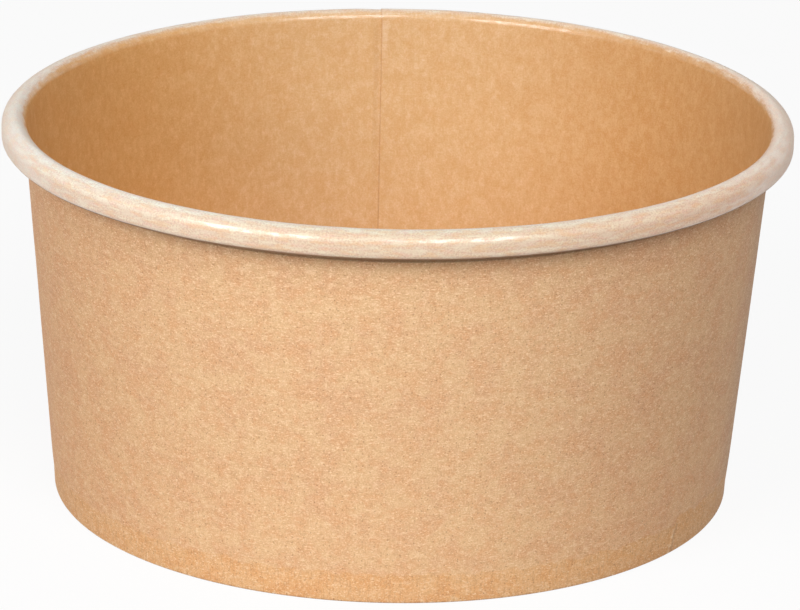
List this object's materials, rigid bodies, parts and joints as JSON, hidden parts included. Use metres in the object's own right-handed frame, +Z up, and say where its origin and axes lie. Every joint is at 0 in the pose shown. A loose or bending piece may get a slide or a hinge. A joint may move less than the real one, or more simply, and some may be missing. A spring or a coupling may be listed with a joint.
{
  "type": "paper salad bowl",
  "caption": "Round brown kraft-board food bowl with slightly flared straight sides, a rolled rim, a lapped side seam and a hemmed, knurled foot round a recessed bottom.",
  "frame": {"origin": "centre of the foot, on the surface that the bowl stands on", "axes": "+Z up along the bowl's axis, -Y towards the front, side seam at the back near +Y"},
  "size_m": [0.15, 0.15, 0.074],
  "materials": {
    "side_board": "matt brown kraft board outside, clear poly coat with a soft gloss inside and on the rolled rim",
    "base_board": "brown kraft board with a clear poly coat with a soft gloss on its upper side"
  },
  "bodies": {
    "root": {"sidewall": "side_board", "bottom_disc": "base_board"}
  },
  "joints": []
}
